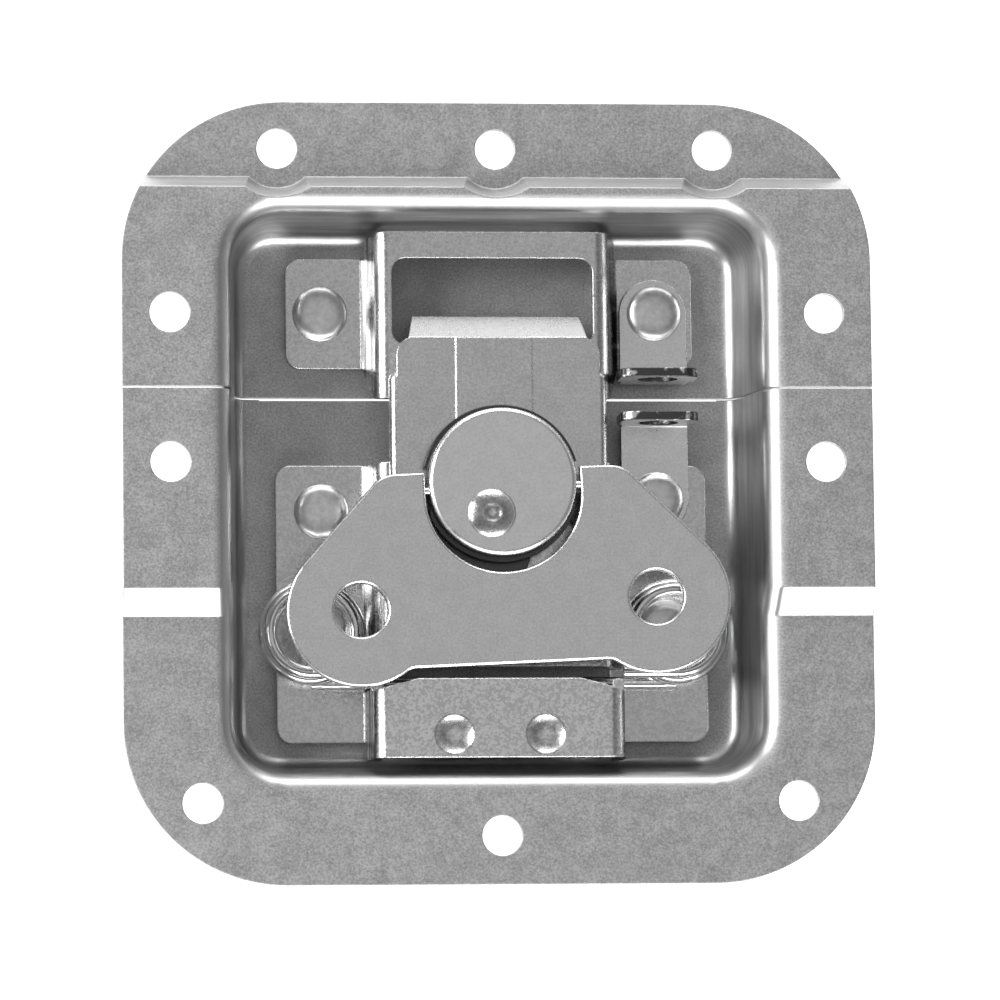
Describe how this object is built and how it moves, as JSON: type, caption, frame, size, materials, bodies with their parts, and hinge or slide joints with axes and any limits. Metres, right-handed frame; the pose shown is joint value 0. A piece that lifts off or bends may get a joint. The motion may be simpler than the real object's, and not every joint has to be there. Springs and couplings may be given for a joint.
{
  "type": "recessed butterfly latch",
  "caption": "Recessed butterfly latch for a case: a stamped split dish with a keeper, a sliding hook, a turning cam and a folding wing handle.",
  "frame": {"origin": "centre of the four side holes, on the seam line between the two halves, at the rear face of the raised flange", "axes": "+Z out of the case, the latch's front; +Y towards the lid half; +X to the right seen from the front"},
  "size_m": [0.1036, 0.108, 0.0166],
  "materials": {
    "sheet": "bright zinc plated, fine grain",
    "bracket": "bright zinc plated",
    "tab": "bright zinc plated",
    "rivet": "smooth bright zinc",
    "cam": "bright zinc plated, fine pits",
    "hook": "bright zinc plated",
    "wing": "bright zinc plated",
    "pin": "plain bright steel",
    "wire": "drawn bright wire"
  },
  "bodies": {
    "plate": {"lid_dish": "sheet", "base_dish": "sheet", "keeper_bracket": "bracket", "base_bracket": "bracket", "padlock_tab_lid": "tab", "padlock_tab_base": "tab", "rivet_keeper_left": "rivet", "rivet_keeper_right": "rivet", "rivet_base_upper_left": "rivet", "rivet_base_upper_right": "rivet", "rivet_base_lower_left": "rivet", "rivet_base_lower_right": "rivet", "pivot_rivet": "rivet", "wing_spring": "wire"},
    "cam": {"cam": "cam", "hinge_pin_left": "pin", "hinge_pin_right": "pin"},
    "hook": {"hook_plate": "hook"},
    "wing": {"wing_handle": "wing"}
  },
  "joints": [
    {"name": "cam_turn", "type": "hinge", "parent": "plate", "child": "cam", "pos_m": [-0.0011, -0.0173, 0], "axis": [0, 0, 1], "range_deg": [0, 180]},
    {"name": "hook_slide", "type": "slide", "parent": "plate", "child": "hook", "axis": [0, 1, 0], "range_m": [0, 0.00771]},
    {"name": "handle_fold", "type": "hinge", "parent": "cam", "child": "wing", "pos_m": [0.00053, -0.0137, -0.0008], "axis": [-0.999, -0.0436, 0], "range_deg": [0, 90]}
  ],
  "couplings": [
    {"joint": "hook_slide", "follows": "cam_turn", "m_per_rad": 0.002453}
  ]
}
